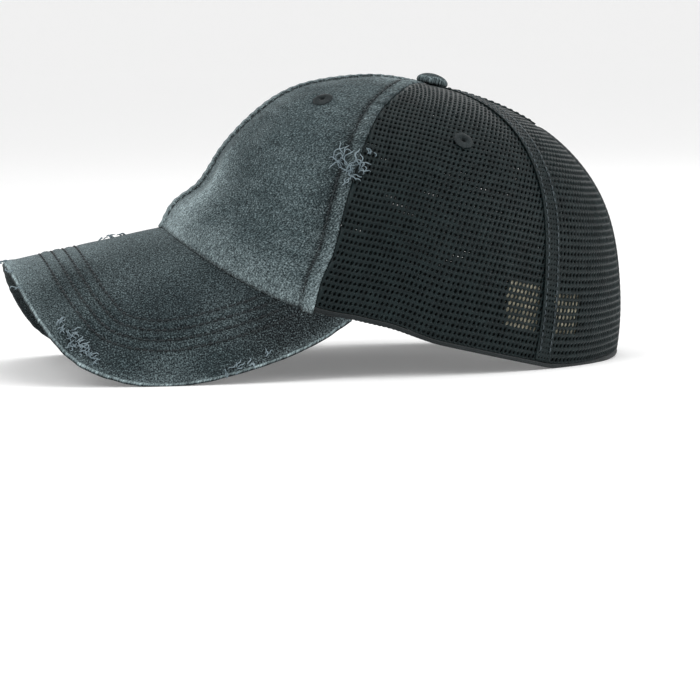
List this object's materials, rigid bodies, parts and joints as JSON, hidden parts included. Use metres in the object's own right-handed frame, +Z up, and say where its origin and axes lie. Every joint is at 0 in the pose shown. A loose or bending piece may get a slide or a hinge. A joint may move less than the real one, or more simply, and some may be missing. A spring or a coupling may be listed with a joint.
{
  "type": "ponytail baseball cap",
  "caption": "Cotton and mesh baseball cap with an arched peak and a bound opening high on the back for a ponytail, closed by a strap at the hem.",
  "frame": {"origin": "centre of the cap's box in plan, on the floor that it stands on", "axes": "+Z up, peak towards -Y, wearer's left towards +X"},
  "size_m": [0.174, 0.2718, 0.1249],
  "materials": {
    "cotton": "washed twill",
    "mesh": "knitted mesh",
    "trim": "woven tape",
    "stitching": "embroidery thread",
    "patch": "plain woven tape"
  },
  "bodies": {
    "root": {"front_panel_left": "cotton", "front_panel_right": "cotton", "side_panel_left": "mesh", "side_panel_right": "mesh", "rear_panel_left": "mesh", "rear_panel_right": "mesh", "visor": "cotton", "button": "cotton", "seam_tape_left": "trim", "seam_tape_right": "trim", "inner_patch": "patch", "sweatband": "trim", "opening_binding": "trim", "closure_strap": "trim", "closure_tab": "trim", "front_eyelet_left": "stitching", "front_eyelet_right": "stitching", "side_eyelet_left": "stitching", "side_eyelet_right": "stitching"}
  },
  "joints": []
}
